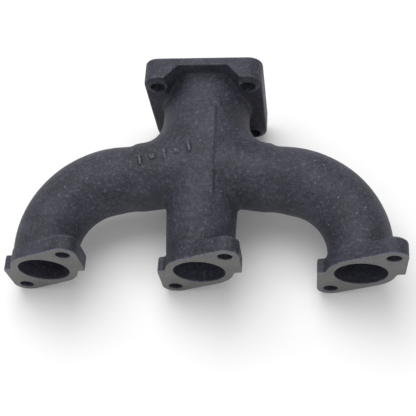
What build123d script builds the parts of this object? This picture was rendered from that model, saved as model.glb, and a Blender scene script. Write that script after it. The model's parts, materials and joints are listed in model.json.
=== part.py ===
from build123d import *
import math
import os

# Exhaust manifold of a three-cylinder engine: one grey-iron casting that
# gathers three exhaust ports into one outlet.
#
# Frame, millimetres: X runs along the cylinder head, from port to port.
# Y runs from the cylinder head's face towards the outlet. Z is up.
# The origin is the centre of the middle port, on the gasket face.
#
# The casting is written as its named regions. Neighbouring regions meet
# face to face, so together they fill the casting once and only once.

# ---- driving dimensions ----
port_pitch = 94.0  # between neighbouring exhaust ports

port_gas_radius = 15.5  # gas passage at the ports
collector_gas_radius = 17.0
outer_port_radius = 19.2  # outside of an outer runner, at its port
outer_collector_radius = 21.9  # and at the collector's centre
middle_port_radius = 19.9  # outside of the middle runner
middle_collector_radius = 22.6

straight_length = 12.7  # outer runner before its bend, from the gasket face
bend_radius = 44.6
bend_turn = 82.8  # degrees, so the runners meet in a shallow V
collector_height = 10.0  # the collector's axis above the port centres
arm_length = 40.0  # the collector's share of each outer runner
middle_cut = 33.0  # where the middle runner enters the collector

flange_thickness = 10.0  # port flange
stud_hole_radius = 4.4  # clearance for an M8 stud
stud_offset_x = 17.2  # stud centre from the port centre
stud_offset_z = 23.1
ear_radius = 8.3  # round ears about the studs
collar_radius = 20.3  # round middle about the port
tab_offset_x = 25.4  # straight side of the square shoulder beside each ear
tab_offset_z = 0.4
flange_edge_round = 0.8

outlet_face = 120.0  # the outlet's gasket face, from the ports' gasket face
outlet_size = 72.0  # square outlet flange
outlet_corner_radius = 9.0
outlet_boss_thickness = 14.0
outlet_web_thickness = 5.0  # between two bosses
outlet_hole_spacing = 54.6
outlet_hole_radius = 4.4
outlet_gas_radius = 20.5
scoop_floor = 30.0  # width of the thin stretch between two bosses
scoop_mouth = 46.0  # its width at the bosses' backs

neck_outer_radius = 27.0  # where it meets the outlet flange
neck_root_half_width = 26.5  # the neck is oval where it leaves the collector's centre
neck_start = 100.0  # where the collector ends and the neck starts
shoulder_round = 15.0  # between the outer runners and the neck
crotch_round = 3.0  # between the outer runners and the middle one
join_nearest = 10.0  # the curves where the runners join have their middles this far from
join_farthest = 35.0  # the centre plane, and are longer and shorter than these
join_shortest = 20.0
join_longest = 100.0

# ---- worked out from them ----
bend_angle = math.radians(bend_turn)
bend_end_x = -port_pitch + bend_radius * (1 - math.cos(bend_angle))
bend_end_y = straight_length + bend_radius * math.sin(bend_angle)
last_heading = 90 - bend_turn
last_length = -bend_end_x / math.sin(bend_angle)
collector_y = bend_end_y + last_length * math.cos(bend_angle)
bend_length = bend_radius * bend_angle
runner_length = straight_length + bend_length + last_length
web_back = outlet_face - outlet_web_thickness
bend_steps = 6  # cross-sections round a bend


def outer_radius(share):
    """Outside radius of an outer runner after this share of its way to the collector's centre."""
    return outer_port_radius + share * (outer_collector_radius - outer_port_radius)


def middle_radius(share):
    """Outside radius of the middle runner after this share of its way."""
    return middle_port_radius + share * (middle_collector_radius - middle_port_radius)


def passage_radius(share):
    """Radius of any runner's gas passage after this share of its way."""
    return port_gas_radius + share * (collector_gas_radius - port_gas_radius)


def upright_plane(point_x, point_y, point_z, heading):
    """A plane that holds the vertical and is square to a heading, in degrees from +X."""
    along = Vector(math.cos(math.radians(heading)), math.sin(math.radians(heading)), 0)
    return Plane((point_x, point_y, point_z), x_dir=along.cross(Vector(0, 0, 1)), z_dir=along)


def runner_station(distance):
    """(plane, share) of the left runner's cross-section this far along its axis."""
    share = distance / runner_length
    height = collector_height * share
    if distance <= straight_length:
        return upright_plane(-port_pitch, distance, height, 90), share
    if distance <= straight_length + bend_length:
        turned = (distance - straight_length) / bend_radius
        point_x = -port_pitch + bend_radius * (1 - math.cos(turned))
        point_y = straight_length + bend_radius * math.sin(turned)
        return upright_plane(point_x, point_y, height, 90 - math.degrees(turned)), share
    left = runner_length - distance
    point_x = -left * math.sin(bend_angle)
    point_y = collector_y - left * math.cos(bend_angle)
    return upright_plane(point_x, point_y, height, last_heading), share


runner_stations = [runner_station(flange_thickness), runner_station(straight_length)]
for step in range(1, bend_steps + 1):
    runner_stations.append(runner_station(straight_length + bend_length * step / bend_steps))
runner_stations.append(runner_station(runner_length - arm_length))

arm_stations = [
    runner_station(runner_length - arm_length),
    (upright_plane(0, collector_y, collector_height, 0), 1.0),
]
middle_stations = [
    (upright_plane(0, point_y, collector_height * point_y / collector_y, 90), point_y / collector_y)
    for point_y in (flange_thickness, middle_cut, collector_y)
]


def rounds(stations, radius_at):
    """The round cross-sections of a tube, or of its hollow, for a loft."""
    sections = []
    for plane, share in stations:
        with BuildSketch(plane) as section:
            Circle(radius_at(share))
        sections.append(section.sketch)
    return sections


# ---- port flanges ----
def port_flange(port_x):
    """One two-stud flange, its gasket face at Y = 0 and its port at this X."""
    face = Plane((port_x, 0, 0), x_dir=(1, 0, 0), z_dir=(0, -1, 0))
    studs = [(stud_offset_x, stud_offset_z), (-stud_offset_x, -stud_offset_z)]
    with BuildPart() as flange:
        with BuildSketch(face):
            Circle(collar_radius)
            with Locations(*studs):
                Circle(ear_radius)
            make_hull()
            with Locations((0, -tab_offset_z)):
                Rectangle(tab_offset_x, stud_offset_z + tab_offset_z, align=(Align.MIN, Align.MIN))
            with Locations((0, tab_offset_z)):
                Rectangle(tab_offset_x, stud_offset_z + tab_offset_z, align=(Align.MAX, Align.MAX))
        extrude(amount=-flange_thickness)
        back = flange.faces().sort_by(Axis.Y)[-1]
        fillet(back.outer_wire().edges(), radius=flange_edge_round)
        with Locations(face):
            Hole(port_gas_radius)
        with Locations(face):
            with Locations(*studs):
                Hole(stud_hole_radius)
    return flange.part


os.makedirs("parts", exist_ok=True)
for side, port_x in (("left", -port_pitch), ("middle", 0.0), ("right", port_pitch)):
    side_flange = port_flange(port_x)
    side_flange.label = f"port_flange_{side}"
    export_step(side_flange, f"parts/port_flange_{side}.step")

# ---- runners ----
with BuildPart() as runner_left:
    loft(sections=rounds(runner_stations, outer_radius))
    loft(sections=rounds(runner_stations, passage_radius), mode=Mode.SUBTRACT)
runner_left.part.label = "runner_left"
export_step(runner_left.part, "parts/runner_left.step")

with BuildPart() as runner_right:
    add(mirror(runner_left.part, about=Plane.YZ, mode=Mode.PRIVATE))
runner_right.part.label = "runner_right"
export_step(runner_right.part, "parts/runner_right.step")

with BuildPart() as runner_middle:
    loft(sections=rounds(middle_stations[:2], middle_radius))
    loft(sections=rounds(middle_stations[:2], passage_radius), mode=Mode.SUBTRACT)
runner_middle.part.label = "runner_middle"
export_step(runner_middle.part, "parts/runner_middle.step")


# ---- collector and neck ----
def neck_share(point_y):
    """How far along the neck this Y is, from the collector's centre to the flange."""
    return (point_y - collector_y) / (web_back - collector_y)


def neck_gas_radius(share):
    """Radius of the neck's gas passage after this share of its way."""
    return collector_gas_radius + share * (outlet_gas_radius - collector_gas_radius)


def neck_ovals(stations):
    """The neck's outside cross-sections: oval at the collector, round at the flange."""
    sections = []
    for plane, share in stations:
        half_width = neck_root_half_width + share * (neck_outer_radius - neck_root_half_width)
        half_height = middle_collector_radius + share * (neck_outer_radius - middle_collector_radius)
        with BuildSketch(plane) as section:
            Ellipse(half_width, half_height)
        sections.append(section.sketch)
    return sections


def joins(edges):
    """The curves where the outer runners run into the middle runner and the neck."""
    beside = edges.filter_by(lambda edge: join_nearest < abs(edge.center().X) < join_farthest)
    return beside.filter_by(lambda edge: join_shortest < edge.length < join_longest)


neck_stations = [
    (upright_plane(0, point_y, collector_height, 90), neck_share(point_y))
    for point_y in (collector_y, neck_start, web_back)
]

with BuildPart() as collector_passage:
    loft(sections=rounds(arm_stations, passage_radius))
    mirror(about=Plane.YZ)
    loft(sections=rounds(middle_stations[1:], passage_radius))
    loft(sections=rounds(neck_stations[:2], neck_gas_radius))

with BuildPart() as collector:
    loft(sections=rounds(arm_stations, outer_radius))
    mirror(about=Plane.YZ)
    loft(sections=rounds(middle_stations[1:], middle_radius))
    loft(sections=neck_ovals(neck_stations[:2]))
    shoulders = joins(collector.edges()).filter_by(lambda edge: edge.center().Y > collector_y)
    fillet(shoulders, radius=shoulder_round)
    crotches = joins(collector.edges()).filter_by(lambda edge: edge.center().Y < collector_y)
    fillet(crotches, radius=crotch_round)
    add(collector_passage.part, mode=Mode.SUBTRACT)
collector.part.label = "collector"
export_step(collector.part, "parts/collector.step")

with BuildPart() as outlet_neck:
    loft(sections=neck_ovals(neck_stations[1:]))
    loft(sections=rounds(neck_stations[1:], neck_gas_radius), mode=Mode.SUBTRACT)
outlet_neck.part.label = "outlet_neck"
export_step(outlet_neck.part, "parts/outlet_neck.step")

# ---- outlet flange ----
outlet_plane = Plane((0, outlet_face, collector_height), x_dir=(1, 0, 0), z_dir=(0, -1, 0))
web_plane = outlet_plane.offset(outlet_web_thickness)
boss_plane = outlet_plane.offset(outlet_boss_thickness)

with BuildPart() as outlet_flange:
    with BuildSketch(outlet_plane):
        RectangleRounded(outlet_size, outlet_size, outlet_corner_radius)
    extrude(amount=outlet_web_thickness)
    with Locations(outlet_plane):
        Hole(outlet_gas_radius)
        with GridLocations(outlet_hole_spacing, outlet_hole_spacing, 2, 2):
            Hole(outlet_hole_radius)
outlet_flange.part.label = "outlet_flange"
export_step(outlet_flange.part, "parts/outlet_flange.step")

# Each side of the flange is thick, for its two bolts, and stands off the thin web.
with BuildPart() as outlet_rails:
    with BuildSketch(web_plane):
        RectangleRounded(outlet_size, outlet_size, outlet_corner_radius)
    extrude(amount=outlet_boss_thickness - outlet_web_thickness)
    with BuildSketch(web_plane):
        Rectangle(scoop_floor, outlet_size)
    with BuildSketch(boss_plane):
        Rectangle(scoop_mouth, outlet_size)
    loft(mode=Mode.SUBTRACT)
    loft(sections=neck_ovals(neck_stations[1:]), mode=Mode.SUBTRACT)
    with Locations(web_plane):
        with GridLocations(outlet_hole_spacing, outlet_hole_spacing, 2, 2):
            Hole(outlet_hole_radius)

with BuildPart() as outlet_rail_left:
    add(outlet_rails.part)
    split(bisect_by=Plane.YZ, keep=Keep.BOTTOM)
outlet_rail_left.part.label = "outlet_rail_left"
export_step(outlet_rail_left.part, "parts/outlet_rail_left.step")

with BuildPart() as outlet_rail_right:
    add(outlet_rails.part)
    split(bisect_by=Plane.YZ, keep=Keep.TOP)
outlet_rail_right.part.label = "outlet_rail_right"
export_step(outlet_rail_right.part, "parts/outlet_rail_right.step")
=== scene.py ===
import json
import math

import bpy
import numpy as np
from mathutils import Matrix, Vector


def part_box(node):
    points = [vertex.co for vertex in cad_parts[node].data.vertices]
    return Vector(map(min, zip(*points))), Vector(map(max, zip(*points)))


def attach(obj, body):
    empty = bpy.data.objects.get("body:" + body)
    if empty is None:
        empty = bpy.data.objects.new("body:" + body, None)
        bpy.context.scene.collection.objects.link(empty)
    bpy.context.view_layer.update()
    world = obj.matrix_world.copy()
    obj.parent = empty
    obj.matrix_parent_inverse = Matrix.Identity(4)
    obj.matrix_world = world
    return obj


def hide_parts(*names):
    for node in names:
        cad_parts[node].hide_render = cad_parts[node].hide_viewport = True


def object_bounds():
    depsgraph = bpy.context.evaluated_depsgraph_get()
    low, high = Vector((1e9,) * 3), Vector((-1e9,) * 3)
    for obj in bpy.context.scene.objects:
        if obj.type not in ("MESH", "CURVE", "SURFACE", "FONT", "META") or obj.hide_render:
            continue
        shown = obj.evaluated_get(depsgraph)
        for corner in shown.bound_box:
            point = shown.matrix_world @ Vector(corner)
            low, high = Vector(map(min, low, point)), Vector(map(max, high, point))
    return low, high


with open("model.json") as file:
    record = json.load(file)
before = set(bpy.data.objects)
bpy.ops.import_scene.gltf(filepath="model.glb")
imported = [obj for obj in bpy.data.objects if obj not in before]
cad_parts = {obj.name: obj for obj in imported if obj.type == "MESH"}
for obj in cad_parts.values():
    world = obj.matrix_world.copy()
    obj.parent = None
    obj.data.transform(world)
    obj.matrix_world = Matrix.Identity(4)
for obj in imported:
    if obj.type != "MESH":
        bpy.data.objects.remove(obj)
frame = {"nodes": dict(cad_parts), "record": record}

bl_info = {
    "name": "Exhaust manifold",
    "version": (1, 0, 0),
    "blender": (4, 5, 0),
    "location": "3D View > Sidebar > Manifold",
    "description": "Casts, mills and finishes a three-port exhaust manifold around its packed frame",
    "category": "Add Mesh",
}

MM = 0.001
SHARP = math.radians(40)  # a steeper edge than this is drawn sharp
CORE_ROUNDS = 8  # rounds of smoothing that the first skin gets
SKIN_ROUNDS = 2  # rounds of smoothing that the finished skin gets
MARK_DEPTH = 4  # a founder's mark goes down into the casting: this many times its height in all
MARK_CORNER = 0.45 * MM  # how far a founder's mark's edges are rounded
TOOL_OVERRUN = 5 * MM  # how far cores and drills run past the faces that they open
MILLED_WITHIN = 0.02 * MM  # a face this near to a gasket plane is milled
CAD_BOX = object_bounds()
MOUNTS = {mount["name"]: mount for mount in frame["record"]["mounts"]}
SIDES = ("left", "middle", "right")
PORT_FLANGES = [f"port_flange_{side}" for side in SIDES]
OUTLET_NODES = ["outlet_flange", "outlet_rail_left", "outlet_rail_right"]


def mount_place(name):
    """A mount's place in the frame."""
    return Vector(MOUNTS[name]["pos_m"])


def mount_size(name, key):
    """One of a mount's sizes, in metres."""
    return MOUNTS[name]["dims"][key] * MM


PORT_PITCH = mount_place("port_right").x - mount_place("port_middle").x
PORT_RADIUS = mount_size("port_middle", "r_mm")
STUD_CIRCLE = mount_size("port_middle_studs", "pcd_mm") / 2
STUD_RADIUS = mount_size("port_middle_studs", "hole_r_mm")
OUTLET = mount_place("outlet_bolts")
OUTLET_RADIUS = mount_size("outlet_bore", "r_mm")
BOLT_HALF_SPACING = mount_size("outlet_bolts", "spacing_x_mm") / 2
BOLT_RADIUS = mount_size("outlet_bolts", "hole_r_mm")
FLANGE_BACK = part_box("port_flange_middle")[1].y
MIDDLE_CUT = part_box("runner_middle")[1].y
NECK_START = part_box("outlet_neck")[0].y
OUTLET_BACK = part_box("outlet_rail_left")[0].y


# ---- sizes and colours a user would change ----
def length(name, description, millimetres):
    """A length setting whose default is in millimetres."""
    return bpy.props.FloatProperty(
        name=name, description=description, default=millimetres * MM, min=0, unit="LENGTH"
    )


def linear(hex_value):
    """An sRGB hex colour as the linear red, green, blue and alpha that Blender's colours are."""
    channels = [int(hex_value[start:start + 2], 16) / 255 for start in (1, 3, 5)]
    return [c / 12.92 if c <= 0.04045 else ((c + 0.055) / 1.055) ** 2.4 for c in channels] + [1]


def colour(name, description, hex_value):
    """A colour setting whose default is an sRGB hex value."""
    return bpy.props.FloatVectorProperty(
        name=name, description=description, default=linear(hex_value), size=4, min=0, max=1, subtype="COLOR"
    )


class PassageSizes(bpy.types.PropertyGroup):
    """The way that the gas passages run, between the sizes that the frame's mounts give."""

    straight: length("Straight", "From the gasket face to the start of an outer runner's bend", 12.7)
    bend: length("Bend radius", "Radius of an outer runner's bend, along its middle", 44.6)
    turn: bpy.props.FloatProperty(
        name="Bend", description="How far an outer runner turns", default=math.radians(82.8), subtype="ANGLE"
    )
    collector: length("Radius at the collector", "Radius of each passage where the three meet", 17.0)
    arm: length("Collector's arm", "From the collector's centre to the cut that ends the collector", 40.0)
    stud_slope: bpy.props.FloatProperty(
        name="Stud diagonal",
        description="Slope of the line through a port flange's studs, from the horizontal",
        default=math.atan2(23.1, 17.2),
        subtype="ANGLE",
    )


class CastingSizes(bpy.types.PropertyGroup):
    """How the iron is cast: its skin, rounding, raised marks and milling stock."""

    grid: length("Skin grid", "Mesh size of the first skin, where edges and hollows are rounded", 0.8)
    fine_grid: length("Fine grid", "Mesh size of the finished skin", 0.6)
    stock: length("Milling stock", "Iron left on each gasket face for the mill", 1.5)
    plug_wall: length("Core cover", "How far the pattern closes over a passage's wall", 1.5)
    pad_right: length("Pad's right side", "From the middle runner's centre to the pad's right side", 9.0)
    pad_start: length("Pad's start", "Where the raised pad starts, from the gasket face", 38.0)
    pad_end: length("Pad's end", "Where the raised pad ends on the neck", 93.6)
    pad_sunk: length("Pad's top", "How far the pad's flat top lies under the middle runner's crown", 0.1)
    pad_depth: length("Pad's depth", "How deep the pad reaches into the casting", 8.0)
    pad_round: length("Pad's edge", "How far the pad's edges are rounded", 1.8)
    mark_first: bpy.props.FloatVectorProperty(
        name="First mark", description="Middle of the first founder's mark", size=3, unit="LENGTH",
        default=(-36.0 * MM, 59.8 * MM, 0),
    )
    mark_last: bpy.props.FloatVectorProperty(
        name="Last mark", description="Middle of the last founder's mark", size=3, unit="LENGTH",
        default=(-6.5 * MM, 66.6 * MM, 0),
    )
    mark_length: length("Mark length", "Length of an upright founder's mark", 6.4)
    mark_width: length("Mark width", "Width of an upright founder's mark", 1.7)
    pip_width: length("Pip width", "Width of a square founder's pip", 3.2)
    mark_height: length("Mark height", "How high the founder's marks stand", 1.3)
    wave_width: length("Wave width", "Size of the mould's slow waves", 14.0)
    wave_depth: length("Wave depth", "Depth of the mould's slow waves", 0.14)
    sand_width: length("Sand width", "Size of the lumps that the sand leaves", 2.2)
    sand_depth: length("Sand depth", "Depth of the lumps that the sand leaves", 0.12)


class Colours(bpy.types.PropertyGroup):
    """Colours of the coated iron, the milled iron and the floor."""

    coating: colour("Coating", "Heat-proof coating in its darker patches", "#25262F")
    coating_light: colour("Light coating", "The same coating where it is thin", "#343541")
    # This dark colour serves random dark mottling, and also painted shade that darkens the hollows
    dark_mottle_and_hollow_shade: colour("Hollows", "Darker coating that gathers in hollows", "#141418")
    # This light colour is bare iron in grains and flecks, and also a painted highlight along sharp edges
    bare_iron_and_edge_highlight: colour("Worn edge", "Iron showing through on rubbed edges and sand grains", "#727482")
    milled: colour("Milled iron", "Grey iron on the gasket faces", "#6E6D6C")
    graphite: colour("Graphite", "The dark flecks in milled grey iron", "#343434")
    floor: colour("Floor", "Plain pale floor", "#F4F4F4")


class StageSettings(bpy.types.PropertyGroup):
    """The camera and the studio lights."""

    camera_place: bpy.props.FloatVectorProperty(
        name="Camera", description="Where the camera stands", size=3, unit="LENGTH",
        default=(0.07073, -0.20338, 0.50131),
    )
    azimuth: bpy.props.FloatProperty(
        name="Azimuth", description="How far the camera is round to the right of the ports",
        default=math.radians(15.475), subtype="ANGLE",
    )
    elevation: bpy.props.FloatProperty(
        name="Elevation", description="How steeply the camera looks down",
        default=math.radians(63.075), subtype="ANGLE",
    )
    roll: bpy.props.FloatProperty(
        name="Roll", description="How far the camera is tipped about its own axis",
        default=math.radians(-13.622), subtype="ANGLE",
    )
    lens: bpy.props.FloatProperty(
        name="Lens", description="Focal length, in millimetres on a 36 mm frame", default=80.10, min=1
    )
    top_power: bpy.props.FloatProperty(
        name="Top light", description="Power of the light above", default=7.9, min=0, unit="POWER"
    )
    front_power: bpy.props.FloatProperty(
        name="Front light", description="Power of the light in front", default=1.0, min=0, unit="POWER"
    )
    surround: bpy.props.FloatProperty(
        name="Surround", description="Strength of the white studio all round", default=0.64, min=0
    )


# ---- small modelling steps ----
def deselect():
    """Leaves edit mode with nothing selected, so that the next step acts on its own piece only."""
    if bpy.context.mode != "OBJECT":
        bpy.ops.object.mode_set(mode="OBJECT")
    bpy.ops.object.select_all(action="DESELECT")


def pick(*pieces):
    """Selects these pieces alone, with the first one active."""
    deselect()
    for piece in pieces:
        piece.select_set(True)
    bpy.context.view_layer.objects.active = pieces[0]


def edit_all(piece):
    """Opens a piece in edit mode with all of it selected."""
    pick(piece)
    bpy.ops.object.mode_set(mode="EDIT")
    bpy.ops.mesh.select_all(action="SELECT")


def merged(piece):
    """Merges a mesh's doubled points and points its faces outwards."""
    edit_all(piece)
    bpy.ops.mesh.remove_doubles(threshold=0.001 * MM)
    bpy.ops.mesh.normals_make_consistent(inside=False)
    bpy.ops.object.mode_set(mode="OBJECT")
    return piece


def node_copy(node, name, offset=(0, 0, 0)):
    """A merged copy of a CAD node's mesh, as a piece of its own that may stand elsewhere."""
    piece = bpy.data.objects.new(name, frame["nodes"][node].data.copy())
    piece.data.materials.clear()
    bpy.context.scene.collection.objects.link(piece)
    piece.location = offset
    pick(piece)
    bpy.ops.object.transform_apply(location=True, rotation=True, scale=True)
    return merged(piece)


def piece_copy(piece, name):
    """A copy of a piece with its own mesh."""
    pick(piece)
    bpy.ops.object.duplicate()
    bpy.context.object.name = name
    return bpy.context.object


def joined(name, *pieces):
    """Makes one mesh of several."""
    pick(*pieces)
    bpy.ops.object.join()
    pieces[0].name = name
    return pieces[0]


def modified(piece, kind, **settings):
    """Adds a modifier with these settings and applies it."""
    pick(piece)
    modifier = piece.modifiers.new(kind.title(), kind)
    for key, value in settings.items():
        setattr(modifier, key, value)
    bpy.ops.object.modifier_apply(modifier=modifier.name)
    return piece


def skinned(piece, grid, rounds):
    """Wraps everything that a piece holds in one even skin, then rounds its edges and hollows."""
    modified(piece, "REMESH", mode="VOXEL", voxel_size=grid, adaptivity=0)
    modified(piece, "SMOOTH", factor=0.5, iterations=rounds)
    return piece


def cut_away(piece, tool):
    """Cuts out of a piece what the tool covers, and puts the tool away."""
    modified(piece, "BOOLEAN", object=tool, operation="DIFFERENCE", solver="MANIFOLD")
    bpy.data.objects.remove(tool)
    return piece


def bisected(piece, place, direction):
    """Cuts a piece at a plane, drops the side that the direction points to, and caps the cut."""
    edit_all(piece)
    bpy.ops.mesh.bisect(
        plane_co=place, plane_no=direction, use_fill=True, clear_outer=True, threshold=0.001 * MM
    )
    bpy.ops.object.mode_set(mode="OBJECT")
    return piece


def settled(name, scale=(1, 1, 1)):
    """Names the primitive that was just added, and moves its place, turn and scale into its mesh."""
    piece = bpy.context.object
    piece.name = name
    piece.scale = scale
    bpy.ops.object.transform_apply(location=True, rotation=True, scale=True)
    return piece


def rod(name, place, radius, start, end, vertices=64):
    """A round rod along Y, from one Y to another."""
    deselect()
    bpy.ops.mesh.primitive_cylinder_add(
        vertices=vertices, radius=radius, depth=end - start,
        location=(place.x, (start + end) / 2, place.z), rotation=(math.pi / 2, 0, 0),
    )
    return settled(name)


def raised_bar(name, place, size, turn, corner):
    """A block whose edges are rounded this far, turned about Z."""
    deselect()
    bpy.ops.mesh.primitive_cube_add(size=1, location=place, rotation=(0, 0, turn))
    piece = settled(name, size)
    bpy.ops.object.mode_set(mode="EDIT")
    bpy.ops.mesh.select_all(action="SELECT")
    bpy.ops.mesh.bevel(offset=corner, segments=3)
    bpy.ops.object.mode_set(mode="OBJECT")
    return piece


def tube(name, stations, vertices=96):
    """A closed tube: a disc at the first cross-section, extruded to each next one, turned and resized there.

    Each cross-section is (place of its centre, heading about Z, radius)."""
    place, heading, radius = stations[0]
    deselect()
    bpy.ops.mesh.primitive_circle_add(
        vertices=vertices, radius=radius, fill_type="NGON", location=place,
        rotation=(math.pi / 2, 0, heading - math.pi / 2),
    )
    piece = settled(name)
    bpy.ops.object.mode_set(mode="EDIT")
    bpy.ops.mesh.select_all(action="SELECT")
    for next_place, next_heading, next_radius in stations[1:]:
        bpy.ops.mesh.extrude_region_move(TRANSFORM_OT_translate={"value": next_place - place})
        if abs(next_heading - heading) > 1e-6:
            bpy.ops.transform.rotate(
                value=heading - next_heading, orient_axis="Z", center_override=next_place
            )
        bpy.ops.transform.resize(value=[next_radius / radius] * 3, center_override=next_place)
        place, heading, radius = next_place, next_heading, next_radius
    bpy.ops.object.mode_set(mode="OBJECT")
    return merged(piece)


# ---- where the gas passages run ----
BEND_STEPS = 24


def collector_centre(sizes):
    """Where the middle lines of the three runners meet."""
    bend_end = PORT_PITCH - sizes.bend * (1 - math.cos(sizes.turn))
    y = sizes.straight + sizes.bend * math.sin(sizes.turn) + bend_end / math.tan(sizes.turn)
    return Vector((0, y, OUTLET.z))


def outer_passage(sizes, side, start, wider=0):
    """Cross-sections of an outer passage, from this Y to the collector's centre. side is -1 or 1."""
    bend_end = PORT_PITCH - sizes.bend * (1 - math.cos(sizes.turn))
    arm = bend_end / math.sin(sizes.turn)
    whole = sizes.straight + sizes.bend * sizes.turn + arm
    plan = [(PORT_PITCH, start, 0, start)]
    for step in range(BEND_STEPS + 1):
        turned = sizes.turn * step / BEND_STEPS
        x = PORT_PITCH - sizes.bend * (1 - math.cos(turned))
        y = sizes.straight + sizes.bend * math.sin(turned)
        plan.append((x, y, turned, sizes.straight + sizes.bend * turned))
    plan.append((0, collector_centre(sizes).y, sizes.turn, whole))
    stations = []
    for x, y, turned, distance in plan:
        share = max(distance, 0) / whole
        radius = PORT_RADIUS + share * (sizes.collector - PORT_RADIUS) + wider
        stations.append((Vector((side * x, y, OUTLET.z * share)), math.pi / 2 + side * turned, radius))
    return stations


def middle_passage(sizes, start, wider=0):
    """Cross-sections of the middle passage, from this Y to the collector's centre."""
    centre = collector_centre(sizes)
    return [
        (Vector((0, start, 0)), math.pi / 2, PORT_RADIUS + wider),
        (Vector((0, 0, 0)), math.pi / 2, PORT_RADIUS + wider),
        (centre, math.pi / 2, sizes.collector + wider),
    ]


def neck_passage(sizes, end, wider=0):
    """Cross-sections of the neck's passage, from the collector's centre to this Y."""
    centre = collector_centre(sizes)
    flange_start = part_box("outlet_flange")[0].y
    return [
        (centre, math.pi / 2, sizes.collector + wider),
        (Vector((0, flange_start, OUTLET.z)), math.pi / 2, OUTLET_RADIUS + wider),
        (Vector((0, end, OUTLET.z)), math.pi / 2, OUTLET_RADIUS + wider),
    ]


def passage_tubes(sizes, outside, wider=0):
    """The four gas passages as solid tubes that run this far past the gasket faces."""
    return [
        tube("passage_left", outer_passage(sizes, -1, -outside, wider)),
        tube("passage_right", outer_passage(sizes, 1, -outside, wider)),
        tube("passage_middle", middle_passage(sizes, -outside, wider)),
        tube("passage_neck", neck_passage(sizes, OUTLET.y + outside, wider)),
    ]


def stud_places(sizes):
    """The middles of all six stud holes, on the port gasket face."""
    reach = STUD_CIRCLE * Vector((math.cos(sizes.stud_slope), 0, math.sin(sizes.stud_slope)))
    ports = [mount_place(f"port_{side}_studs") for side in SIDES]
    return [port + way * reach for port in ports for way in (1, -1)]


def bolt_places():
    """The middles of the four bolt holes, on the outlet's gasket face."""
    half = BOLT_HALF_SPACING
    return [OUTLET + Vector((x * half, 0, z * half)) for x in (-1, 1) for z in (-1, 1)]


def hole_rods(sizes, outside, wider=0):
    """A rod in every stud hole and bolt hole, this far past the gasket faces and the flanges' backs."""
    studs = [
        rod("stud_hole", place, STUD_RADIUS + wider, -outside, FLANGE_BACK + outside)
        for place in stud_places(sizes)
    ]
    bolts = [
        rod("bolt_hole", place, BOLT_RADIUS + wider, OUTLET_BACK - outside, OUTLET.y + outside)
        for place in bolt_places()
    ]
    return studs + bolts


# ---- materials ----
def add_node(tree, kind, settings=(), links=(), **values):
    """Adds a shader node with its settings, socket values and links into it."""
    node = tree.nodes.new(kind)
    for key, value in dict(settings).items():
        setattr(node, key, value)
    for key, value in values.items():
        node.inputs[key.replace("_", " ")].default_value = value
    for socket, source in dict(links).items():
        tree.links.new(source, node.inputs[socket])
    return node


def bare_material(name):
    """A new node material that holds only its output, and its node tree."""
    material = bpy.data.materials.new(name)
    material.use_nodes = True
    material.node_tree.nodes.clear()
    return material, material.node_tree


def grain(tree, place, size, detail, roughness=0.6):
    """Noise whose lumps are about this size, on the object's own coordinates."""
    return add_node(
        tree, "ShaderNodeTexNoise", {"noise_dimensions": "3D"}, {"Vector": place},
        Scale=1 / size, Detail=detail, Roughness=roughness,
    ).outputs["Fac"]


def stretched(tree, value, low, high, to_low=0.0, to_high=1.0):
    """A value from between low and high, spread over another range and kept inside it."""
    return add_node(
        tree, "ShaderNodeMapRange", {"clamp": True}, {"Value": value},
        From_Min=low, From_Max=high, To_Min=to_low, To_Max=to_high,
    ).outputs["Result"]


def blended(tree, share, first, second):
    """One colour turning into another as the share goes from 0 to 1."""
    node = tree.nodes.new("ShaderNodeMix")
    node.data_type = "RGBA"
    tree.links.new(share, node.inputs["Factor"])
    for socket, value in ((node.inputs[6], first), (node.inputs[7], second)):
        if isinstance(value, bpy.types.NodeSocket):
            tree.links.new(value, socket)
        else:
            socket.default_value = value
    return node.outputs[2]


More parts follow.
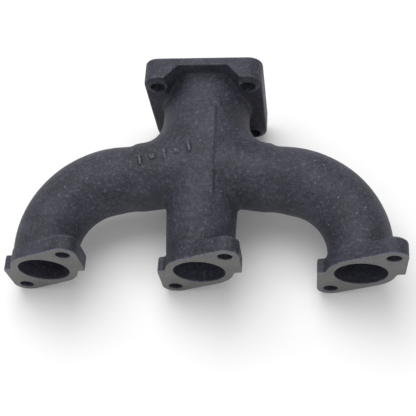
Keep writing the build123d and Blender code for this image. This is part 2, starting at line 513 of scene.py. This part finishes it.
def coated_cast_iron(colours, casting):
    """Sand-cast grey iron under a matt black heat-proof coating.

    The sand leaves a fine grain with a few bright points where the coating doesn't reach. A thin bright line
    runs along the gasket faces' edges: partly the coating cut through by the mill, partly a painted highlight
    on those sharp edges. Other sharp edges are painted lighter the same way, and hollows are painted darker
    as painted shade."""
    material, tree = bare_material("coated_cast_iron")
    place = add_node(tree, "ShaderNodeTexCoord").outputs["Object"]
    patches = grain(tree, place, 18 * MM, 4)
    sand = grain(tree, place, 0.9 * MM, 3)
    lumps = grain(tree, place, casting.sand_width, 5)
    tone = blended(tree, stretched(tree, patches, 0.35, 0.65), colours.coating, colours.coating_light)
    tone = blended(tree, stretched(tree, lumps, 0.50, 0.34, 0, 0.45), tone, colours.dark_mottle_and_hollow_shade)
    tone = blended(tree, stretched(tree, lumps, 0.56, 0.78, 0, 0.42), tone, colours.bare_iron_and_edge_highlight)
    tone = blended(tree, stretched(tree, sand, 0.52, 0.74, 0, 0.35), tone, colours.bare_iron_and_edge_highlight)
    # Sand grains are under 0.3 mm. They are drawn at about 1 mm, so that they show.
    points = add_node(
        tree, "ShaderNodeTexVoronoi", {"feature": "F1"}, {"Vector": place},
        Scale=1 / (2.6 * MM), Randomness=1.0,
    )
    near_point = stretched(tree, points.outputs["Distance"], 0.10, 0.20, 1, 0)
    chosen = stretched(tree, add_node(
        tree, "ShaderNodeSeparateColor", {}, {"Color": points.outputs["Color"]}
    ).outputs["Red"], 0.93, 0.95)
    bright = add_node(
        tree, "ShaderNodeMath", {"operation": "MULTIPLY"}, {0: near_point, 1: chosen}
    ).outputs["Value"]
    tone = blended(tree, bright, tone, colours.bare_iron_and_edge_highlight)
    # Sharp edges are painted lighter: partly coating rubbed thin, partly a painted highlight. Hollows are
    # painted darker, which is painted shade.
    bend = add_node(tree, "ShaderNodeAttribute", {"attribute_name": "edge_bend"}).outputs["Fac"]
    worn_and_highlit_edges = add_node(
        tree, "ShaderNodeMath", {"operation": "MULTIPLY"},
        {0: stretched(tree, bend, 0.045, 0.13), 1: stretched(tree, sand, 0.38, 0.62, 0.05, 0.75)},
    ).outputs["Value"]
    # Painted shade: concave places are darkened towards the dark colour
    tone = blended(tree, stretched(tree, bend, -0.03, -0.12, 0, 0.6), tone, colours.dark_mottle_and_hollow_shade)
    tone = blended(tree, worn_and_highlit_edges, tone, colours.bare_iron_and_edge_highlight)
    # A thin light line along the gasket faces' edges: partly coating cut through by the mill, partly a
    # painted highlight on the sharp edge
    along = add_node(tree, "ShaderNodeSeparateXYZ", {}, {"Vector": place}).outputs["Y"]
    port_edge = stretched(tree, along, 0.15 * MM, 0.9 * MM, 1, 0)
    outlet_edge = stretched(tree, along, OUTLET.y - 0.9 * MM, OUTLET.y - 0.15 * MM)
    edge = add_node(tree, "ShaderNodeMath", {"operation": "MAXIMUM"}, {0: port_edge, 1: outlet_edge})
    rubbed_and_highlit_edge = add_node(
        tree, "ShaderNodeMath", {"operation": "MULTIPLY"},
        {0: edge.outputs["Value"], 1: stretched(tree, sand, 0.35, 0.6, 0.2, 0.9)},
    ).outputs["Value"]
    tone = blended(tree, rubbed_and_highlit_edge, tone, colours.bare_iron_and_edge_highlight)
    height = add_node(
        tree, "ShaderNodeMath", {"operation": "MULTIPLY_ADD"}, {0: sand, 2: lumps}
    )
    height.inputs[1].default_value = 0.6
    bump = add_node(
        tree, "ShaderNodeBump", {}, {"Height": height.outputs["Value"]}, Strength=0.8, Distance=0.45 * MM
    )
    shader = add_node(
        tree, "ShaderNodeBsdfPrincipled", {},
        {
            "Base Color": tone,
            "Roughness": stretched(tree, sand, 0.3, 0.7, 0.46, 0.66),
            "Normal": bump.outputs["Normal"],
        },
        Metallic=0.0, IOR=1.5, Specular_IOR_Level=0.3,
    )
    add_node(tree, "ShaderNodeOutputMaterial", {}, {"Surface": shader.outputs["BSDF"]})
    return material


def milled_grey_iron(colours):
    """Grey iron faced by a milling cutter: dull grey with dark graphite flecks and faint arcs."""
    material, tree = bare_material("milled_grey_iron")
    place = add_node(tree, "ShaderNodeTexCoord").outputs["Object"]
    flecks = grain(tree, place, 0.8 * MM, 4, 0.75)
    clouds = grain(tree, place, 9 * MM, 3)
    # The cutter's arcs are 0.2 mm apart. They are drawn about 6 mm apart, so that they show.
    arcs = add_node(
        tree, "ShaderNodeTexWave", {"wave_type": "RINGS", "rings_direction": "Y"},
        {"Vector": add_node(
            tree, "ShaderNodeMapping", {}, {"Vector": place}, Location=(0, 0, 0.22)
        ).outputs["Vector"]},
        Scale=1 / (20 * MM), Distortion=1.5, Detail=2.0, Detail_Scale=2.0,
    ).outputs["Fac"]
    tone = blended(tree, stretched(tree, flecks, 0.50, 0.64, 0, 0.85), colours.milled, colours.graphite)
    tone = blended(tree, stretched(tree, flecks, 0.36, 0.26, 0, 0.6), tone, colours.bare_iron_and_edge_highlight)
    tone = blended(tree, stretched(tree, clouds, 0.4, 0.7, 0, 0.25), tone, colours.coating_light)
    height = add_node(tree, "ShaderNodeMath", {"operation": "MULTIPLY_ADD"}, {0: arcs, 2: flecks})
    height.inputs[1].default_value = 0.25
    bump = add_node(
        tree, "ShaderNodeBump", {}, {"Height": height.outputs["Value"]}, Strength=0.35, Distance=0.12 * MM
    )
    shader = add_node(
        tree, "ShaderNodeBsdfPrincipled", {},
        {
            "Base Color": tone,
            "Roughness": stretched(tree, flecks, 0.3, 0.7, 0.42, 0.62),
            "Normal": bump.outputs["Normal"],
        },
        Metallic=0.55,
    )
    add_node(tree, "ShaderNodeOutputMaterial", {}, {"Surface": shader.outputs["BSDF"]})
    return material


def pale_floor(colours):
    """A plain pale matt floor."""
    material, tree = bare_material("pale_floor")
    shader = add_node(tree, "ShaderNodeBsdfPrincipled", {}, {}, Base_Color=colours.floor, Roughness=0.9)
    add_node(tree, "ShaderNodeOutputMaterial", {}, {"Surface": shader.outputs["BSDF"]})
    return material


# ---- the casting ----
def surface_height(piece, x, y):
    """Height of a piece's upper surface at this place."""
    hit, point, *_ = piece.ray_cast((x, y, CAD_BOX[1].z + 10 * MM), (0, 0, -1))
    if not hit:
        raise RuntimeError(f"{piece.name} has no surface at {x}, {y}")
    return point.z


class MANIFOLD_OT_pattern(bpy.types.Operator):
    """Makes the founder's pattern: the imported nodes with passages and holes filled, and milling stock"""

    bl_idname = "manifold.pattern"
    bl_label = "Pattern"

    def execute(self, context):
        passages, casting = context.scene.manifold_passages, context.scene.manifold_casting
        regions = [node_copy(node, f"region_{node}") for node in sorted(frame["nodes"])]
        stock = [node_copy(node, f"stock_{node}", (0, -casting.stock, 0)) for node in PORT_FLANGES]
        stock.append(node_copy("outlet_flange", "stock_outlet", (0, casting.stock, 0)))
        plugs = passage_tubes(passages, casting.stock, casting.plug_wall)
        plugs += hole_rods(passages, casting.stock, casting.plug_wall)
        body = joined("casting", *regions, *stock, *plugs)
        skinned(body, casting.grid, CORE_ROUNDS)
        return {"FINISHED"}


class MANIFOLD_OT_raised_pad(bpy.types.Operator):
    """Adds the raised pad that runs along the middle runner on to the neck"""

    bl_idname = "manifold.raised_pad"
    bl_label = "Raised pad"

    def execute(self, context):
        casting = context.scene.manifold_casting
        body = bpy.data.objects["casting"]
        stops = [casting.pad_start, collector_centre(context.scene.manifold_passages).y, casting.pad_end]
        tops = [Vector((casting.pad_right / 2, y, surface_height(body, 0, y))) for y in stops]
        drop = Vector((0, 0, casting.pad_depth / 2 + casting.pad_sunk))
        deselect()
        bpy.ops.mesh.primitive_plane_add(size=1, location=tops[0] - drop, rotation=(math.pi / 2, 0, 0))
        pad = settled("raised_pad", (casting.pad_right, casting.pad_depth, 1))
        bpy.ops.object.mode_set(mode="EDIT")
        bpy.ops.mesh.select_all(action="SELECT")
        for here, there in zip(tops, tops[1:]):
            bpy.ops.mesh.extrude_region_move(TRANSFORM_OT_translate={"value": there - here})
        bpy.ops.mesh.select_all(action="SELECT")
        bpy.ops.mesh.bevel(offset=casting.pad_round, segments=4)
        bpy.ops.object.mode_set(mode="OBJECT")
        joined("casting", body, merged(pad))
        return {"FINISHED"}


class MANIFOLD_OT_marks(bpy.types.Operator):
    """Adds a row of plain raised founder's marks: bars and pips that spell nothing"""

    bl_idname = "manifold.marks"
    bl_label = "Founder's marks"

    def execute(self, context):
        casting = context.scene.manifold_casting
        body = bpy.data.objects["casting"]
        tall, narrow = casting.mark_length, casting.mark_width
        first, last = Vector(casting.mark_first), Vector(casting.mark_last)
        turn = math.atan2((last - first).y, (last - first).x)
        bar, pip = (narrow, tall), (casting.pip_width, casting.pip_width)
        shapes = (bar, pip, bar, pip, bar)
        marks = []
        for index, (width, height) in enumerate(shapes):
            place = first.lerp(last, index / (len(shapes) - 1))
            top = surface_height(body, place.x, place.y) + casting.mark_height
            depth = MARK_DEPTH * casting.mark_height
            place = Vector((place.x, place.y, top - depth / 2))
            marks.append(raised_bar("mark", place, (width, height, depth), turn, MARK_CORNER))
        joined("casting", body, *marks)
        return {"FINISHED"}


BEND_ROUNDS = 2  # times that each point's bend is averaged with its neighbours'


def mark_edges(piece):
    """Writes how sharply a piece's surface bends at each point: above 0 on edges, under 0 in hollows."""
    mesh = piece.data
    count = len(mesh.vertices)
    places, normals = np.empty(count * 3), np.empty(count * 3)
    ends = np.empty(len(mesh.edges) * 2, int)
    mesh.vertices.foreach_get("co", places)
    mesh.vertices.foreach_get("normal", normals)
    mesh.edges.foreach_get("vertices", ends)
    places, normals, ends = places.reshape(-1, 3), normals.reshape(-1, 3), ends.reshape(-1, 2)
    bend, neighbours = np.zeros(count), np.bincount(ends.ravel(), minlength=count)
    for near, far in (ends.T, ends.T[::-1]):
        step = places[near] - places[far]
        rise = (step * normals[near]).sum(axis=1) / np.linalg.norm(step, axis=1)
        bend += np.bincount(near, rise, count)
    bend /= neighbours
    for _ in range(BEND_ROUNDS):
        beside = np.bincount(ends[:, 0], bend[ends[:, 1]], count)
        beside += np.bincount(ends[:, 1], bend[ends[:, 0]], count)
        bend = (bend + beside / neighbours) / 2
    mesh.attributes.new("edge_bend", "FLOAT", "POINT").data.foreach_set("value", bend.astype(np.float32))


class MANIFOLD_OT_cast(bpy.types.Operator):
    """Casts the pattern in one skin of iron, with the waves of its mould and the lumps of its sand"""

    bl_idname = "manifold.cast"
    bl_label = "Cast"

    def execute(self, context):
        casting = context.scene.manifold_casting
        body = skinned(bpy.data.objects["casting"], casting.fine_grid, SKIN_ROUNDS)
        mark_edges(body)
        for name, width, depth in (
            ("mould_waves", casting.wave_width, casting.wave_depth),
            ("sand_lumps", casting.sand_width, casting.sand_depth),
        ):
            texture = bpy.data.textures.new(name, "CLOUDS")
            texture.noise_scale = width
            texture.noise_depth = 2
            modified(body, "DISPLACE", texture=texture, texture_coords="LOCAL", strength=depth, mid_level=1.0)
        return {"FINISHED"}


class MANIFOLD_OT_machine(bpy.types.Operator):
    """Mills the gasket faces, opens the gas passages and drills the holes"""

    bl_idname = "manifold.machine"
    bl_label = "Mill, core and drill"

    def execute(self, context):
        passages = context.scene.manifold_passages
        body = bpy.data.objects["casting"]
        bisected(body, (0, 0, 0), (0, -1, 0))
        bisected(body, OUTLET, (0, 1, 0))
        for tool in passage_tubes(passages, TOOL_OVERRUN) + hole_rods(passages, TOOL_OVERRUN):
            cut_away(body, tool)
        return {"FINISHED"}


class MANIFOLD_OT_finishes(bpy.types.Operator):
    """Makes the coated iron and the milled iron"""

    bl_idname = "manifold.finishes"
    bl_label = "Finishes"

    def execute(self, context):
        colours = context.scene.manifold_colours
        body = bpy.data.objects["casting"]
        body.data.materials.clear()
        body.data.materials.append(coated_cast_iron(colours, context.scene.manifold_casting))
        body.data.materials.append(milled_grey_iron(colours))
        for face in body.data.polygons:
            along = face.center.y
            milled = min(abs(along), abs(along - OUTLET.y)) < MILLED_WITHIN
            face.material_index = 1 if milled else 0
        return {"FINISHED"}


# ---- parting the casting into the frame's nodes ----
def parted(name, nodes, cuts):
    """The part of the casting that every cut leaves, standing for these nodes.

    A cut is (a point on its plane, the direction of the side that it drops)."""
    piece = piece_copy(bpy.data.objects["casting"], name)
    for place, direction in cuts:
        bisected(piece, place, direction)
    pick(piece)
    bpy.ops.object.shade_smooth_by_angle(angle=SHARP)
    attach(piece, "root")
    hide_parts(*nodes)
    return piece


def arm_cut(sizes, side):
    """Where an outer runner meets the collector, and the direction along it towards the collector."""
    heading = math.pi / 2 + side * sizes.turn
    forward = Vector((math.cos(heading), math.sin(heading), 0))
    return collector_centre(sizes) - sizes.arm * forward, forward


class MANIFOLD_OT_port_flanges(bpy.types.Operator):
    """Parts the three port flanges from the casting"""

    bl_idname = "manifold.port_flanges"
    bl_label = "Port flanges"

    def execute(self, context):
        for side in SIDES:
            middle, half = mount_place(f"port_{side}"), Vector((PORT_PITCH / 2, 0, 0))
            cuts = [
                ((0, FLANGE_BACK, 0), (0, 1, 0)),
                (middle + half, (1, 0, 0)),
                (middle - half, (-1, 0, 0)),
            ]
            parted(f"{side}_port_flange", [f"port_flange_{side}"], cuts)
        return {"FINISHED"}


class MANIFOLD_OT_runners(bpy.types.Operator):
    """Parts the two outer runners and the middle runner from the casting"""

    bl_idname = "manifold.runners"
    bl_label = "Runners"

    def execute(self, context):
        behind_flange = ((0, FLANGE_BACK, 0), (0, -1, 0))
        for side, way in (("left", -1), ("right", 1)):
            parted(
                f"{side}_runner", [f"runner_{side}"],
                [behind_flange, arm_cut(context.scene.manifold_passages, way)],
            )
        half = PORT_PITCH / 2
        cuts = [
            behind_flange,
            ((0, MIDDLE_CUT, 0), (0, 1, 0)),
            ((half, 0, 0), (1, 0, 0)),
            ((-half, 0, 0), (-1, 0, 0)),
        ]
        parted("middle_runner", ["runner_middle"], cuts)
        return {"FINISHED"}


class MANIFOLD_OT_collector(bpy.types.Operator):
    """Parts the collector and the neck from the casting"""

    bl_idname = "manifold.collector"
    bl_label = "Collector and neck"

    def execute(self, context):
        cuts = [((0, MIDDLE_CUT, 0), (0, -1, 0)), ((0, NECK_START, 0), (0, 1, 0))]
        for way in (-1, 1):
            place, forward = arm_cut(context.scene.manifold_passages, way)
            cuts.append((place, -forward))
        parted("collector_body", ["collector"], cuts)
        cuts = [((0, NECK_START, 0), (0, -1, 0)), ((0, OUTLET_BACK, 0), (0, 1, 0))]
        parted("neck", ["outlet_neck"], cuts)
        return {"FINISHED"}


class MANIFOLD_OT_outlet(bpy.types.Operator):
    """Parts the outlet flange from the casting, and puts the whole casting away"""

    bl_idname = "manifold.outlet"
    bl_label = "Outlet flange"

    def execute(self, context):
        parted("square_outlet_flange", OUTLET_NODES, [((0, OUTLET_BACK, 0), (0, -1, 0))])
        bpy.data.objects.remove(bpy.data.objects["casting"])
        return {"FINISHED"}


# ---- the stage ----
TOP_LIGHT_FROM = Vector((-0.15, 0.35, 0.9))  # both lights' places are from the casting's middle, in metres
TOP_LIGHT_SIZE = 0.9
FRONT_LIGHT_FROM = Vector((0.1, -0.9, 0.5))
FRONT_LIGHT_SIZE = 0.8
FLOOR_SIZE = 6


def soft_light(name, place, aim, size, power):
    """A square area light, this wide, at a place and turned to face another."""
    light = bpy.data.lights.new(name, "AREA")
    light.shape = "SQUARE"
    light.size = size
    light.energy = power
    lamp = bpy.data.objects.new(name, light)
    lamp.location = place
    lamp.rotation_euler = (Vector(aim) - Vector(place)).to_track_quat("-Z", "Y").to_euler()
    bpy.context.scene.collection.objects.link(lamp)


class MANIFOLD_OT_stage(bpy.types.Operator):
    """Sets the pale floor, the soft studio lights and the camera"""

    bl_idname = "manifold.stage"
    bl_label = "Stage"

    def execute(self, context):
        stage = context.scene.manifold_stage
        deselect()
        bpy.ops.mesh.primitive_plane_add(size=FLOOR_SIZE, location=(0, 0, CAD_BOX[0].z))
        floor = settled("floor")
        floor.data.materials.append(pale_floor(context.scene.manifold_colours))
        middle = (CAD_BOX[0] + CAD_BOX[1]) / 2
        soft_light("top_light", middle + TOP_LIGHT_FROM, middle, TOP_LIGHT_SIZE, stage.top_power)
        soft_light("front_light", middle + FRONT_LIGHT_FROM, middle, FRONT_LIGHT_SIZE, stage.front_power)
        world = bpy.data.worlds.new("studio")
        world.use_nodes = True
        world.node_tree.nodes["Background"].inputs["Color"].default_value = (1, 1, 1, 1)
        world.node_tree.nodes["Background"].inputs["Strength"].default_value = stage.surround
        context.scene.world = world
        context.scene.view_settings.view_transform = "Standard"
        camera_data = bpy.data.cameras.new("camera")
        camera_data.lens = stage.lens
        camera = bpy.data.objects.new("camera", camera_data)
        turn = (
            Matrix.Rotation(stage.azimuth, 4, "Z")
            @ Matrix.Rotation(math.pi / 2 - stage.elevation, 4, "X")
            @ Matrix.Rotation(stage.roll, 4, "Z")
        )
        camera.matrix_world = Matrix.Translation(stage.camera_place) @ turn
        context.scene.collection.objects.link(camera)
        context.scene.camera = camera
        return {"FINISHED"}


STEPS = (
    MANIFOLD_OT_pattern,
    MANIFOLD_OT_raised_pad,
    MANIFOLD_OT_marks,
    MANIFOLD_OT_cast,
    MANIFOLD_OT_machine,
    MANIFOLD_OT_finishes,
    MANIFOLD_OT_port_flanges,
    MANIFOLD_OT_runners,
    MANIFOLD_OT_collector,
    MANIFOLD_OT_outlet,
    MANIFOLD_OT_stage,
)


class MANIFOLD_PT_panel(bpy.types.Panel):
    """Lists the steps in order"""

    bl_idname = "MANIFOLD_PT_panel"
    bl_label = "Exhaust manifold"
    bl_space_type = "VIEW_3D"
    bl_region_type = "UI"
    bl_category = "Manifold"

    def draw(self, context):
        for step in STEPS:
            self.layout.operator(step.bl_idname)


SETTINGS = {
    "manifold_passages": PassageSizes,
    "manifold_casting": CastingSizes,
    "manifold_colours": Colours,
    "manifold_stage": StageSettings,
}


def register():
    """Registers the settings, the steps and the panel."""
    for name, group in SETTINGS.items():
        bpy.utils.register_class(group)
        setattr(bpy.types.Scene, name, bpy.props.PointerProperty(type=group))
    for step in (*STEPS, MANIFOLD_PT_panel):
        bpy.utils.register_class(step)


def unregister():
    """Takes them away again."""
    for step in (*STEPS, MANIFOLD_PT_panel):
        bpy.utils.unregister_class(step)
    for name, group in SETTINGS.items():
        delattr(bpy.types.Scene, name)
        bpy.utils.unregister_class(group)


def main():
    """Makes the manifold step by step."""
    register()
    for step in STEPS:
        group, name = step.bl_idname.split(".")
        getattr(getattr(bpy.ops, group), name)()
    deselect()


if __name__ == "__main__":
    main()
